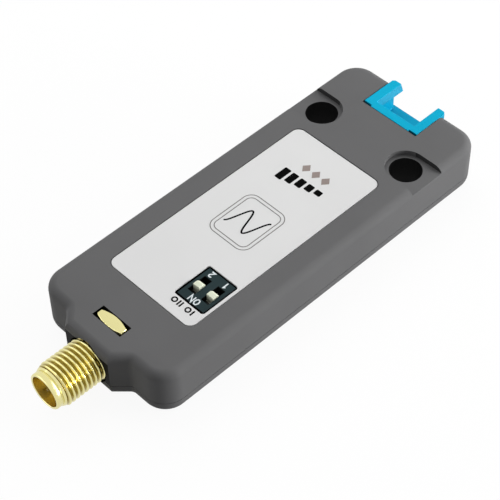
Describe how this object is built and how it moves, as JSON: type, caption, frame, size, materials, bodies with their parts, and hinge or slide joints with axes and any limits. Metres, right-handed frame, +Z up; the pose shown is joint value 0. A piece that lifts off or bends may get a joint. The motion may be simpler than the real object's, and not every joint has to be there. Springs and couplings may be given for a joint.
{
  "type": "long-range radio module",
  "caption": "Flat moulded radio module with a cable socket at one end, a threaded aerial jack at the other, pin holes and a small slide switch in the top.",
  "frame": {"origin": "midway between the two pin holes, on the underside", "axes": "+X along the case towards the aerial jack, +Y towards the long side that the slide switch is nearer to, +Z up through the labelled face"},
  "size_m": [0.0701, 0.024, 0.0082],
  "materials": {
    "case_plastic": "fine matt moulding",
    "label_film": "smooth printed film",
    "board_dark": "solder mask",
    "board_green": "solder mask",
    "tin_plate": "tin-plated sheet",
    "black_mould": "moulded epoxy",
    "ceramic": "fired ceramic",
    "switch_dark": "satin moulding",
    "lever_white": "smooth moulding",
    "socket_blue": "satin moulding",
    "gold_plate": "gold-plated brass",
    "insulator_white": "waxy",
    "lead_grey": "extruded jacket",
    "screw_steel": "blackened steel"
  },
  "bodies": {
    "housing": {"top_shell": "case_plastic", "bottom_shell": "case_plastic", "label": "label_film", "main_board": "board_dark", "radio_board": "board_green", "shield_can": "tin_plate", "oscillator": "tin_plate", "level_regulator": "black_mould", "chip_capacitors": "ceramic", "chip_resistors": "black_mould", "switch_base": "black_mould", "switch_cover": "switch_dark", "switch_terminals": "tin_plate", "socket_housing": "socket_blue", "socket_contacts": "gold_plate", "socket_anchors": "tin_plate", "aerial_jack": "gold_plate", "jack_insulator": "insulator_white", "jack_contact": "gold_plate", "crimp_sleeve": "gold_plate", "aerial_lead": "lead_grey", "lead_plug": "gold_plate", "lead_receptacle": "gold_plate", "case_screws": "screw_steel"},
    "lever_1": {"switch_lever_1": "lever_white"},
    "lever_2": {"switch_lever_2": "lever_white"}
  },
  "joints": [
    {"name": "lever_1_slide", "type": "slide", "parent": "housing", "child": "lever_1", "axis": [1, 0, 0], "range_m": [-0.0008, 0]},
    {"name": "lever_2_slide", "type": "slide", "parent": "housing", "child": "lever_2", "axis": [1, 0, 0], "range_m": [-0.0008, 0]}
  ]
}
